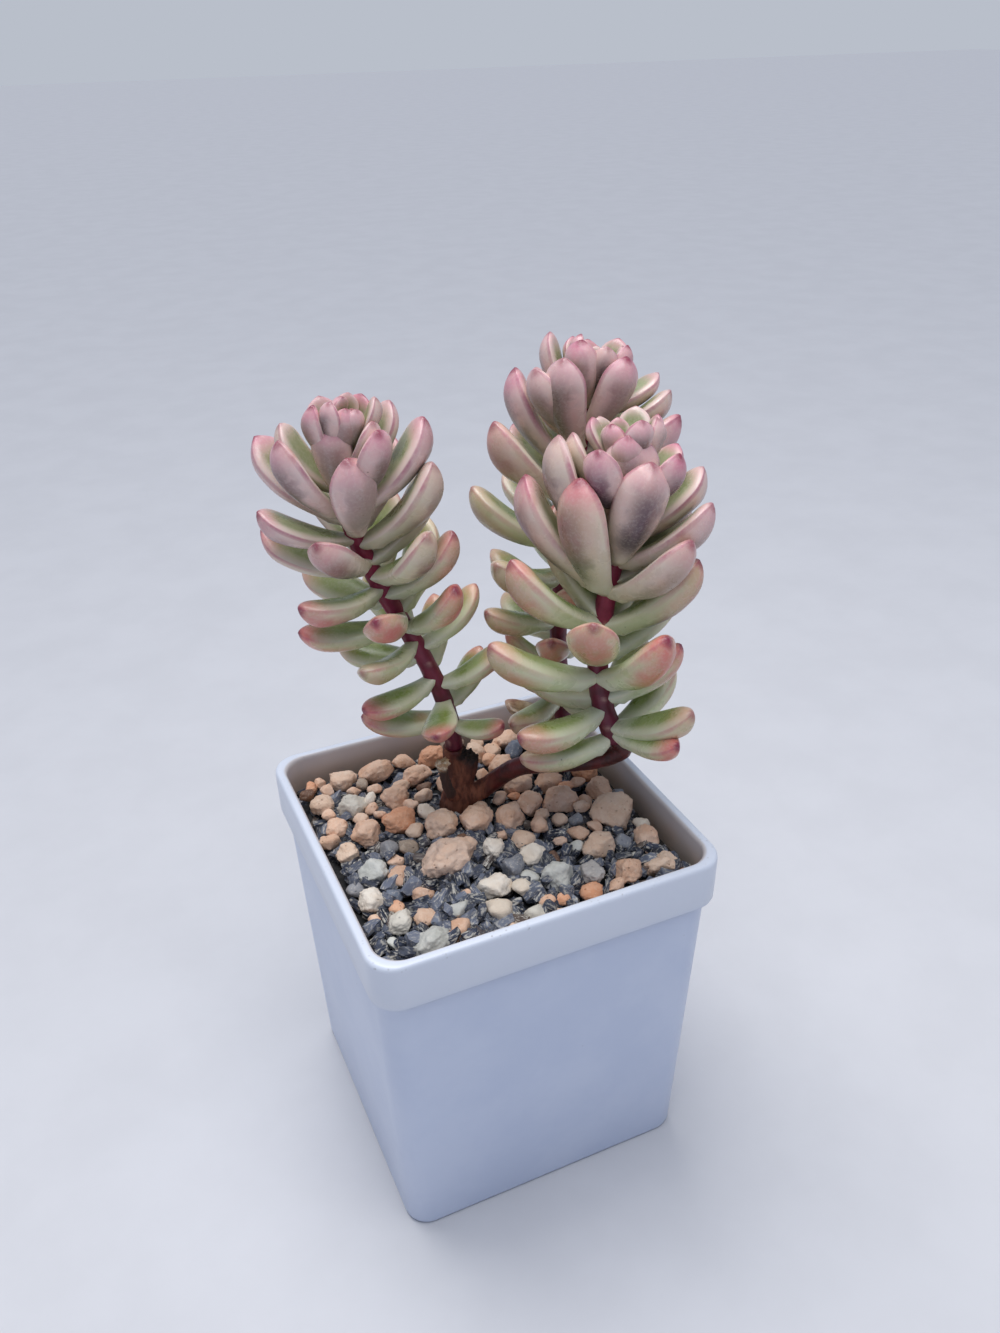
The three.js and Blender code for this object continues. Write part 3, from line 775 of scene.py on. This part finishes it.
# each stem's curve and radius, and the spiral of its leaves. A nudge is turn, lift, length and climb, a
# share is of width and thickness, and rosy tells how rosy single leaves are.
stems = dict(
    left=dict(
        path=[(-1.7, 7.5, 67.4), (-2, 6.4, 85.6), (-17.8, 11, 100.9), (-15.7, 6.9, 118.8)], radius=(1.4, 1.3),
        seed=1, firstTurn=218.5, start=0.03, evenness=0.59, lift=(12, -7, 61), length=(8.7, 7.5, 7.5),
        nudges={
            3: (0, 0, 3), 4: (5, 8), 5: (-5, -8), 12: (0, -5, -1.5), 18: (0, 4, 0, -3), 19: (10, -3),
            20: (-10, 0, -1), 21: (6, 0, -1), 23: (20, 0, 0.5), 24: (0, 7, 1.5), 26: (5, 10, -2.5, -2),
            28: (20, 0, 2), 31: (22, 26, 1, -2), 32: (15, 0, 2.5), 33: (12, -6, 3, 1), 34: (-10, 16, 2, -1),
            36: (18, 8, 1.5), 38: (0, -5, 1), 39: (12, 26, 0.5, -5), 40: (8, -6)},
        shares={
            2: (1.22, 1.05), 3: (1.22, 1.05), 4: (1.3, 1.1), 5: (1.45, 1), 7: (1.15, 1.05), 8: (1.12, 1),
            13: (0.9, 0.9), 28: (0.9, 1)},
        rosy={5: 1, 8: 1, 15: 1}, fallen=[0, 1, 6, 10], withered=[]),
    front=dict(
        path=[(17.8, -10, 73.7), (11.5, -6.5, 87.6), (19.4, -8.3, 101.2), (19.7, -6.4, 114.4)],
        radius=(1.65, 1.2), seed=2, firstTurn=283.6, start=0, evenness=1, lift=(1.6, 15, 45),
        length=(14.1, 6.2, 8.6),
        nudges={
            0: (0, 0, 0, 4), 1: (28, 17, 1), 5: (-14, -3, -0.5, -5), 6: (16, 0, -1), 7: (0, -7),
            9: (-12, -15, -1, -2), 10: (-4, 5, -3, -5), 11: (-25, 0, 1.5, 2), 13: (0, 9, 0, -3),
            18: (0, 14, -1, 5), 19: (0, 0, 0, 4), 20: (0, 6, -1), 22: (0, 16), 24: (-12, 20, 1, 5),
            25: (-6, 18, -0.5), 27: (-5, 0, 2), 29: (15, 22, 1, 5), 32: (-16, 6, 3), 34: (-26, 27, 0.6, 1),
            36: (0, 0, 1.5, -3), 37: (0, 0, 0, 5), 41: (-8, -16), 45: (9, 0, -1)},
        shares={16: (1.06, 0.84), 24: (1.08, 1), 29: (0.92, 1), 32: (0.92, 1)}, rosy={0: 1, 16: 0.55},
        fallen=[3, 8, 12, 14, 17, 21, 23], withered=[]),
    back=dict(
        path=[(17.9, 7.2, 67), (16.1, 9.9, 85), (19.4, 9.7, 102), (23.4, 11.4, 119.6)], radius=(1.5, 1.1),
        seed=3, firstTurn=266, start=0, evenness=0.4, lift=(2.4, -7.6, 48.8), length=(10, 7, 9),
        nudges={
            1: (0, 0, 1), 3: (0, 0, 2), 4: (25, -16), 6: (10, 36, -2), 8: (0, 15), 11: (8, 6, -0.5),
            13: (-14, 13, -2), 14: (-13, 3, -1), 16: (-14, 0), 19: (0, 8, 0, 2), 24: (-14, 15, 1.5, 5),
            27: (-20, 8, -1.5), 31: (9, 3, 1.5), 32: (-5, 22, 2.5, -3), 34: (-32, 24, 1),
            39: (4, 13, 1, -3), 40: (0, 8, 1), 41: (-6, -18, 1)},
        shares={34: (0.95, 1)}, rosy={}, fallen=[0, 2, 5, 10, 18, 21, 26, 29], withered=[1]))


def stemSpot(stem, at):
    a, b, c, d = [Vector(p) for p in stem["path"]]
    left = 1 - at
    return a * left ** 3 + b * 3 * left * left * at + c * 3 * left * at * at + d * at ** 3


def stemAxis(stem, at):
    a, b, c, d = [Vector(p) for p in stem["path"]]
    at = min(max(at, 0), 1)
    left = 1 - at
    return ((b - a) * left * left + (c - b) * 2 * left * at + (d - c) * at * at).normalized()


def footingOf(stem):
    # the last stretch of wood, up to just below the stem's start
    start, down = stemSpot(stem, 0), -stemAxis(stem, 0)
    return [start + down * (wood["footing"] + wood["gap"]), start + down * 0.1]


def throughPoints(points):
    # an even run of points on a smooth curve through the given ones
    points = [Vector(p) for p in points]
    ends = [points[0] * 2 - points[1], *points, points[-1] * 2 - points[-2]]
    run = []
    for k in range(len(points) - 1):
        a, b, c, d = ends[k:k + 4]
        for step in range(wood["curveSteps"]):
            t = step / wood["curveSteps"]
            run.append(0.5 * (2 * b + (c - a) * t + (2 * a - 5 * b + 4 * c - d) * t * t
                              + (3 * b - a - 3 * c + d) * t ** 3))
    return run + [points[-1]]


def alongRun(count):
    return [k / (count - 1) for k in range(count)]


def roundLimb(points, radii, roundness):
    # a path with a round bevel, swelled point by point and made a mesh
    curve = startPiece(bpy.ops.curve.primitive_nurbs_path_add, "limb").data
    curve.splines.clear()
    line = curve.splines.new("POLY")
    line.points.add(len(points) - 1)
    for dot, place, radius in zip(line.points, points, radii):
        dot.co = (*(place * mm), 1)
        dot.radius = radius * mm
    curve.bevel_depth = 1
    curve.bevel_resolution = roundness
    curve.use_fill_caps = True
    bpy.ops.object.convert(target="MESH")
    piece = bpy.context.object
    editAll(piece)
    bpy.ops.mesh.remove_doubles(threshold=1e-7)
    leaveEdit()
    return piece


def trunkWood():
    look = Look("dryBark")
    spot, blend = look.spot, look.blend
    bark, pale, cut = look.read("woodForm")
    stretched = look.add("ShaderNodeMapping", {"Vector": spot, "Scale": (1, 1, 0.32)}).outputs[0]
    brown = blend(look.mottle(stretched, 900, 0.36, 0.66), "#5c3023", "#8f573f")
    brown = blend(look.ramp(look.placeInMm()[2], 59.5, 55, 0, 0.55), brown, "#41241b")
    maroon = blend(look.mottle(spot, 500, 0.35, 0.7), "#390f0d", "#611b1b")
    splinters = blend(look.mottle(spot, 1600, 0.45, 0.6), "#c9a27c", "#ecd9bd")
    colour = look.layers(maroon, (bark, brown), (cut, "#2e221e"), (pale, splinters))
    height = look.relief(stretched, 1500, 5000, 0.4)
    return look.finish(colour, look.ramp(bark, 0, 1, 0.42, 0.8), (height, 0.55, 0.2))


def fusedWood():
    # root, broken side shoot, cut shoulder and both arms, grown into one
    root = throughPoints(wood["root"] + footingOf(stems["left"]))
    tip, waist, neck = wood["rootRadius"]
    swelled = [between((tip, waist), smoothStep(0, 0.36, s)) - (waist - neck) * smoothStep(0.4, 0.72, s)
               for s in alongRun(len(root))]
    limbs = [roundLimb(root, swelled, wood["roundness"])]
    arms = [(path + footingOf(stems[side]), wood["armRadius"]) for side, path in wood["arms"].items()]
    for path, radius in [*wood["stubs"].values(), *arms]:
        run = throughPoints(path)
        limbs.append(roundLimb(run, [between(radius, s) for s in alongRun(len(run))], wood["roundness"]))
    pickOnly(limbs[0])
    for limb in limbs:
        limb.select_set(True)
    bpy.ops.object.join()
    wearSmooth(limbs[0], wood["voxel"] * mm, wood["smoothing"])
    return limbs[0]


def makeTrunk():
    piece = fusedWood()
    piece.name = "woodyTrunk"
    points = pointsOf(piece)
    normals = [np.array(vertex.normal) for vertex in piece.data.vertices]
    sideEnd, cutEnd = [Vector(wood["stubs"][name][0][-1]) for name in ("knob", "cutShoulder")]
    twig = throughPoints(wood["stubs"]["sideShoot"][0])[7:]
    forms = []
    for point, normal in zip(points, normals):
        # grey bark below, maroon on the arms and the stem; pale where broken, dark where cut
        spot = Vector(point) / mm
        fromCut = (spot - cutEnd).length
        onArm = smoothStep(1.2, 3.4, spot.x)
        onStem = smoothStep(65.2, 67, spot.z) * smoothStep(-3.2, -2.4, spot.x) if fromCut > 2.2 else 0
        bark = 1 - max(onArm, onStem)
        pale = smoothStep(2.0, 1.2, (spot - sideEnd).length)
        onTwig = 0.85 * smoothStep(1.5, 0.7, min((spot - middle).length for middle in twig))
        cut = max(smoothStep(2.4, 1.3, fromCut + 0.7 * noise.noise(spot * 1.3)), onTwig)
        grooves = noise.noise(Vector((spot.x * 1.5, spot.y * 1.5, spot.z * 0.35)))
        ragged = noise.noise(spot * 1.9)
        push = wood["furrows"] * (grooves * 0.7 + ragged * 0.3) * between((0.3, 1), bark)
        broken = max(pale, cut if fromCut < 3 else 0)
        push += wood["breakRoughness"] * noise.noise(spot * 3.1) * broken
        point += normal * push * mm
        forms.append((bark, pale, cut))
    setPoints(piece, points)
    writeAttribute(piece, "woodForm", forms)
    smoothShade(piece)
    standsFor(piece, "bark", "trunk", trunkWood())


makeTrunk()
print("trunk")


# Leafy stems

spiral = dict(leaves=46, buds=7, turn=-138.2, closing=20, turnJitter=4, liftJitter=4, lengthJitter=0.05)
leaf = dict(
    sides=28, widest=(0.62, 0.73), foot=(0.42, 0.33), width=(0.34, 0.03, 0.45), thickness=(0.27, 0.26),
    variety=(0.92, 1.08), innerShare=(0.36, 0.27), hollow=(0.05, 0.14), witheredHollow=0.75,
    witheredCrumple=3.5, keel=0.1, heel=0.2, sideLumps=0.07, faceLumps=0.09, sway=0.025, bend=34,
    stations=[0.03, 0.07, 0.11, 0.16, 0.22, 0.29, 0.36, 0.43, 0.5, 0.57, 0.64, 0.71, 0.77, 0.82, 0.87, 0.91,
              0.945, 0.97, 0.988])
stemSkin = dict(roundness=7, steps=120, nodeSwell=0.15, scarDepth=0.1, lumps=0.07)


def leafProfile(along, up=0.5):
    # width, as a share of the widest: a narrow foot, a broad outer part and a short point
    along = min(max(along, 0), 1)
    widest = between(leaf["widest"], up)
    if along < widest:
        rise = sin(along / widest * pi / 2) ** between((1.2, 1.4), up)
        return between((between(leaf["foot"], up), 1), rise)
    past = (along - widest) / (1 - widest)
    return max(1 - past ** between((2.5, 2.8), up), 0) ** between((0.75, 0.95), up)


def leafTemplate():
    # a ring is drawn out along the leaf and closed at its tip
    piece = startPiece(bpy.ops.mesh.primitive_circle_add, "leaf", vertices=leaf["sides"], radius=1,
                       fill_type="NGON", rotation=(0, pi / 2, 0))
    finishShape(piece)
    editAll(piece)
    foot = leafProfile(0)
    bpy.ops.transform.resize(value=(1, foot, foot), center_override=(0, 0, 0))
    for before, along in zip([0, *leaf["stations"]], leaf["stations"]):
        drawOut(0, before, along, leafProfile(along) / leafProfile(before))
    drawOut(0, along, 1, 1)
    bpy.ops.mesh.merge(type="CENTER")
    leaveEdit()
    return takeShape(piece)


def swelling(ends, up):
    # from the foot's value to the crown's, with a swell half way
    foot, swell, crown = ends
    return between((foot, crown), up) + swell * 4 * up * (1 - up)


def leafPlace(stem, i):
    # leaves past the last are the small buds in the crown's middle
    last = spiral["leaves"] - 1
    up, bud = min(i / last, 1), max(i - last, 0)
    nudge = [*stem["nudges"].get(i, ()), 0, 0, 0, 0]
    spread = [2 * chance - 1 for chance in draws(i * 7 + stem["seed"] * 101, 4)]
    climb = stem["evenness"] * up + (1 - stem["evenness"]) * (1 - (1 - up) ** 2)
    turn = stem["firstTurn"] + spiral["turn"] * i + spiral["turnJitter"] * spread[1] + nudge[0]
    lift = swelling(stem["lift"], up) + spiral["closing"] * up ** 10 + spiral["liftJitter"] * spread[2]
    lift += nudge[1] + (3.5 * bud - 20 if bud else 0)
    length = swelling(stem["length"], up) * (1 + spiral["lengthJitter"] * spread[3]) + nudge[2]
    return dict(
        up=up, at=stem["start"] + (1 - stem["start"]) * climb + nudge[3] / 100, turn=radians(turn),
        lift=radians(lift), length=length * (1.2 - 0.06 * bud if bud else 1),
        shares=stem["shares"].get(i, (1, 1)), rosy=stem["rosy"].get(i), withered=i in stem["withered"])


def acrossStem(stem, at):
    axis = stemAxis(stem, at)
    east = (Vector((1, 0, 0)) - axis * axis.x).normalized()
    return axis, east, axis.cross(east)


def shapedLeaf(template, place, chance, heelAt):
    # a copy of the leaf; its width, thickness, hollow and lumps vary with its place
    up, length, withered = place["up"], place["length"], place["withered"]
    crown = smoothStep(0.2, 0.7, up)
    wider, thicker = place["shares"]
    halfWidth = length * swelling(leaf["width"], up) / 2 * between(leaf["variety"], chance[0]) * wider
    thickness = length * between(leaf["thickness"], crown) * between(leaf["variety"], chance[1]) * thicker
    innerShare = between(leaf["innerShare"], crown)
    sag = length * radians(leaf["bend"]) / 8
    drift = Vector((chance[2] * 50, chance[3] * 50, up * 9))
    hollow = leaf["witheredHollow"] if withered else between(leaf["hollow"], crown)
    crumple = leaf["witheredCrumple"] if withered else 1
    points, forms = [], []
    for along, across, rise in template:
        along = min(max(along, 0), 1)
        ring = hypot(across, rise) or 1e-9
        side, face = across / ring, rise / ring
        wide = leafProfile(along, up) if along < 0.9999 else 0
        belly = smoothStep(0.1, 0.45, along)
        if face > 0:
            depth = innerShare * face ** 1.3
            depth -= hollow * belly * (1 - smoothStep(0.6, 1, along)) * (1 - side * side) * face
        else:
            keel = exp(-(side / 0.34) ** 2) * smoothStep(0.25, 0.9, along)
            depth = -(1 - innerShare) * abs(face) ** 1.12 * (1 + leaf["keel"] * keel)
            depth -= leaf["heel"] * exp(-((along - heelAt) / 0.05) ** 2) * abs(face)
        lump = Vector((along * 2.4, side * 0.9, face * 0.9)) + drift
        y = halfWidth * wide * side * (1 + leaf["sideLumps"] * crumple * noise.noise(lump))
        y += leaf["sway"] * length * belly * noise.noise(Vector((along * 1.4, chance[0] * 40, 0)))
        z = thickness * wide ** 0.72 * depth
        z *= 1 + leaf["faceLumps"] * crumple * noise.noise(lump * 1.3 * crumple)
        z -= sag * 1.04 * sin(pi * along ** 0.8)
        points.append((along * length, y, z))
        forms.append((along, side, face))
    return points, forms


def stemTube(stem):
    # swelled where each leaf sits and marked where one has fallen
    steps = stemSkin["steps"]
    run = alongRun(steps + 1)
    path = [stemSpot(stem, at) for at in run]
    length = sum((path[k + 1] - path[k]).length for k in range(steps))
    limb = roundLimb(path, [between(stem["radius"], at) for at in run], stemSkin["roundness"])
    skin, faces = takeShape(limb)
    places = [(leafPlace(stem, i), i in stem["fallen"]) for i in range(spiral["leaves"])]
    points, forms = [], []
    for spot in (Vector(point) / mm for point in skin):
        nearest = int(np.argmin(((np.array(path) - np.array(spot)) ** 2).sum(axis=1)))
        at = run[nearest]
        axis, east, north = acrossStem(stem, at)
        out = (spot - path[nearest]).normalized()
        angle = atan2(out.dot(north), out.dot(east))
        swell, scar = 0, 0
        for place, fallen in places:
            away = (at - place["at"]) * length
            if abs(away) > 2.5:
                continue
            aside = (angle - place["turn"] + pi) % (2 * pi) - pi
            swell += exp(-(away / 0.8) ** 2 - (aside / 0.5) ** 2) * (1 - 0.5 * fallen)
            if fallen:
                scar = max(scar, exp(-(away / 0.34) ** 2 - (aside / 0.24) ** 2))
        push = stemSkin["nodeSwell"] * min(swell, 1.2) - stemSkin["scarDepth"] * scar
        push += stemSkin["lumps"] * noise.noise(spot * 0.9)
        points.append(spot + out * push)
        forms.append((at, scar, 0))
    return points, faces, forms


def leafSkin():
    look = Look("sedumLeaf")
    spot, blend, times, ramp = look.spot, look.blend, look.times, look.ramp
    along, side, face = look.read("leafForm")
    up, chance, blush = look.read("leafTone")
    edge = look.sums("ABSOLUTE", side)
    cloud = look.mottle(spot, 230, 0.32, 0.68)
    upper, crowned = ramp(up, 0.34, 0.72), ramp(up, 0.26, 0.5)

    # body of the outer face: cream below, dusty pink towards the crown
    lowBody = blend(cloud, "#c5cd9c", "#dee1bd")
    highBody = blend(cloud, "#e4c2ba", "#f0d8d0")
    highBody = blend(ramp(blush, 0.5, 0, 0, 0.5), highBody, "#d2cda9")
    body = blend(upper, lowBody, highBody)

    # its middle: green below, grey green in a ring of mauve grey above
    shaky = look.sums("ADD", edge, ramp(cloud, 0, 1, 0.14, -0.14))
    lengthwise = times(ramp(along, 0.06, 0.4), ramp(along, 1, 0.7))
    ring = times(ramp(shaky, 0.95, 0.45), lengthwise)
    ringPaint = blend(upper, blend(cloud, "#9aaa62", "#b2bc82"), "#b39a94")
    core = times(ramp(shaky, 0.8, 0.15), lengthwise, ramp(chance, 0, 0.8, 0.35, 1))
    highCore = blend(ramp(chance, 0.45, 0.85), "#686a50", "#594752")
    outer = look.layers(body, (ring, ringPaint, 0.85), (core, blend(crowned, "#7c9344", highCore)))

    # the inner face: a green stripe between paler margins
    stripe = times(ramp(edge, 0.95, 0.4), ramp(along, 1.02, 0.75))
    stripePaint = blend(upper, blend(cloud, "#86994e", "#a5b272"), blend(cloud, "#899567", "#adb38a"))
    inner = blend(stripe, blend(upper, "#d6d5b4", "#ecd5ca"), stripePaint)

    # coral or rose on keel and tip, more on some leaves than on others
    onTip = blend(upper, ramp(along, 0.62, 0.98), ramp(along, 0.72, 1))
    onKeel = times(ramp(face, 0, -0.8), ramp(along, 0.34, 0.78), ramp(upper, 0, 1, 0.95, 0.25))
    rose = times(look.sums("MAXIMUM", onTip, onKeel), ramp(cloud, 0, 1, 0.6, 1), ramp(blush, 0, 1, 0.42, 1.2))

    # a thin rose line round the margin, and a dark point
    outerPart = blend(upper, ramp(along, 0.35, 0.95, 0.1, 0.65), ramp(along, 0.25, 0.6))
    margin = times(ramp(edge, 0.955, 1), outerPart, ramp(cloud, 0, 1, 0.35, 0.85))
    point = times(ramp(along, 0.95, 1), ramp(blush, 0, 1, 0.6, 1))

    foot = blend(crowned, ramp(along, 0.42, 0.14), ramp(along, 0.28, 0.06))
    dry = blend(look.mottle(spot, 700, 0.35, 0.65), "#7d5f4c", "#b39a7c")
    blotch = times(look.specks(spot, 130, 0.3, 0.12), ramp(cloud, 0, 1, 0.2, 0.7))
    colour = look.layers(
        outer, (ramp(face, -0.06, 0.22), inner),
        (foot, blend(upper, "#dcdcc4", "#d8cdb8"), 0.7),
        (rose, blend(upper, "#da7a72", "#cf8294"), 0.85),
        (margin, blend(upper, "#c05c6c", "#b2687c")), (point, "#8a3349"),
        (ramp(blush, 1.2, 1.8), dry, 0.8),  # the withered leaf
        (blotch, "#b0744a"),
        (look.mottle(spot, 2400, 0.46, 0.64), "#e6d9cc", 0.13),  # fine stipple
        (look.specks(spot, 620, 0.13, 0.06), "#4a4030", 0.7))
    height = look.relief(spot, 330, 4200, 0.12)
    return look.finish(colour, ramp(cloud, 0, 1, 0.25, 0.36), (height, 0.22, 0.3), (0.1, (1.6, 0.9, 0.6)))


def stemBark():
    look = Look("maroonStem")
    at, scar = look.read("leafForm")[:2]
    cloud = look.mottle(look.spot, 380, 0.3, 0.7)
    low, high = look.blend(cloud, "#521024", "#701a36"), look.blend(cloud, "#7b1a3b", "#9a2c50")
    dots = look.specks(look.spot, 900, 0.2, 0.1)
    colour = look.layers(low, (look.ramp(at, 0.1, 0.6), high), (dots, "#9b6a63", 0.5), (scar, "#b98f84", 0.8))
    return look.finish(colour, 0.42, (look.relief(look.spot, 1100, 3800, 0.3), 0.35, 0.2))


def makeLeafyStem(side, stem, template, skins):
    points, faces, forms = stemTube(stem)
    tones = [(0, 0, 0)] * len(points)
    skinOf = [0] * len(faces)
    for i in range(spiral["leaves"] + spiral["buds"]):
        if i in stem["fallen"]:
            continue
        place = leafPlace(stem, i)
        chance = draws(i * 31 + stem["seed"] * 57, 6)
        axis, east, north = acrossStem(stem, place["at"])
        outward = east * cos(place["turn"]) + north * sin(place["turn"])
        ahead = outward * cos(place["lift"]) + axis * sin(place["lift"])
        inward = axis * cos(place["lift"]) - outward * sin(place["lift"])
        aside = inward.cross(ahead)
        base = stemSpot(stem, place["at"])
        start = len(points)
        heelAt = (between(stem["radius"], place["at"]) + 0.5) / place["length"]
        leafPoints, leafForms = shapedLeaf(template[0], place, chance, heelAt)
        blush = 2 if place["withered"] else place["rosy"] or chance[5]
        points.extend(base + ahead * x + aside * y + inward * z for x, y, z in leafPoints)
        faces.extend(tuple(start + k for k in face) for face in template[1])
        forms.extend(leafForms)
        tones.extend([(place["up"], chance[4], blush)] * len(leafPoints))
        skinOf.extend([1] * len(template[1]))
    piece = meshPiece(side + "LeafyStem", [point * mm for point in points], faces)
    writeAttribute(piece, "leafForm", forms)
    writeAttribute(piece, "leafTone", tones)
    standsFor(piece, "leaf", "leafy_stem_" + side, *skins)
    piece.data.polygons.foreach_set("material_index", skinOf)
    smoothShade(piece)


leafShape = leafTemplate()
stemSkins = (stemBark(), leafSkin())
for side, stem in stems.items():
    makeLeafyStem(side, stem, leafShape, stemSkins)
print("leafy stems")
